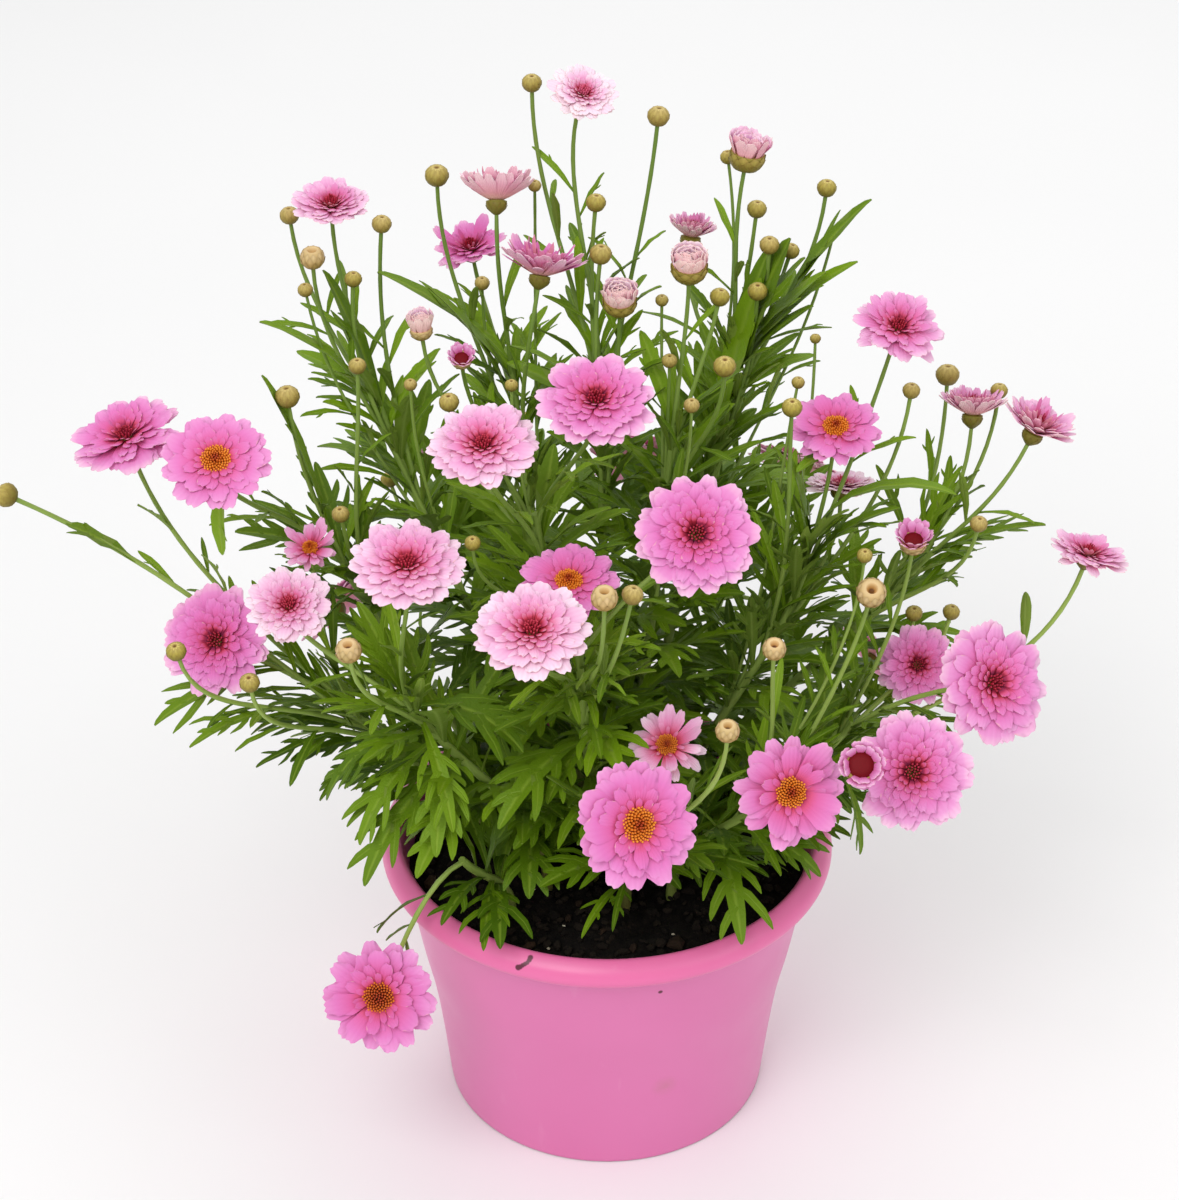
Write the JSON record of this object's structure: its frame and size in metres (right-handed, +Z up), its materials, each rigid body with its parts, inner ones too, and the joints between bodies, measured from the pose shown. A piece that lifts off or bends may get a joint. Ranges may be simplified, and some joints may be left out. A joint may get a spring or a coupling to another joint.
{
  "type": "potted marguerite daisy",
  "caption": "Bushy marguerite daisy with leafy stems, buds and open double blooms, growing in a round flared plastic pot filled with soil.",
  "frame": {"origin": "middle of the pot's flat underside, on the surface it stands on", "axes": "+Z straight up; -Y towards the plant's front, the side its lowest blooms lean over; +X to the right seen from the front"},
  "size_m": [0.4748, 0.3196, 0.4512],
  "materials": {
    "pot": "satin",
    "soil": "matte",
    "foliage": "matte",
    "pink_petals": "matte",
    "pale_petals": "matte"
  },
  "bodies": {
    "root": {"bloom_01": "pale_petals", "bloom_02": "pink_petals", "bloom_03": "pink_petals", "bloom_04": "pink_petals", "bloom_05": "pink_petals", "bloom_06": "pink_petals", "bloom_07": "pink_petals", "bloom_08": "pink_petals", "bloom_09": "pink_petals", "bloom_10": "pink_petals", "bloom_11": "pink_petals", "bloom_12": "pink_petals", "bloom_13": "pink_petals", "bloom_14": "pink_petals", "bloom_15": "pink_petals", "bloom_16": "pink_petals", "bloom_17": "pink_petals", "bloom_18": "pink_petals", "bloom_19": "pink_petals", "bloom_20": "pink_petals", "bloom_21": "pale_petals", "bloom_22": "pink_petals", "bloom_23": "pale_petals", "bloom_24": "pale_petals", "bloom_25": "pale_petals", "bloom_26": "pink_petals", "bloom_27": "pink_petals", "bloom_28": "pink_petals", "bloom_29": "pink_petals", "bloom_30": "pink_petals", "bloom_31": "pink_petals", "bloom_32": "pink_petals", "bloom_33": "pink_petals", "bloom_34": "pink_petals", "bloom_35": "pink_petals", "head_01": "pink_petals", "head_02": "pink_petals", "head_03": "pink_petals", "head_04": "pink_petals", "pot": "pot", "shoot_back_left": "foliage", "shoot_back_right": "foliage", "shoot_crown_left": "foliage", "shoot_crown_right": "foliage", "shoot_far_right": "foliage", "shoot_front": "foliage", "shoot_front_left": "foliage", "shoot_front_middle": "foliage", "shoot_front_right": "foliage", "shoot_high_left": "foliage", "shoot_left": "foliage", "shoot_low_left": "foliage", "shoot_low_right": "foliage", "shoot_middle": "foliage", "shoot_middle_right": "foliage", "shoot_right": "foliage", "shoot_rim_left": "foliage", "shoot_top": "foliage", "soil": "soil"}
  },
  "joints": []
}
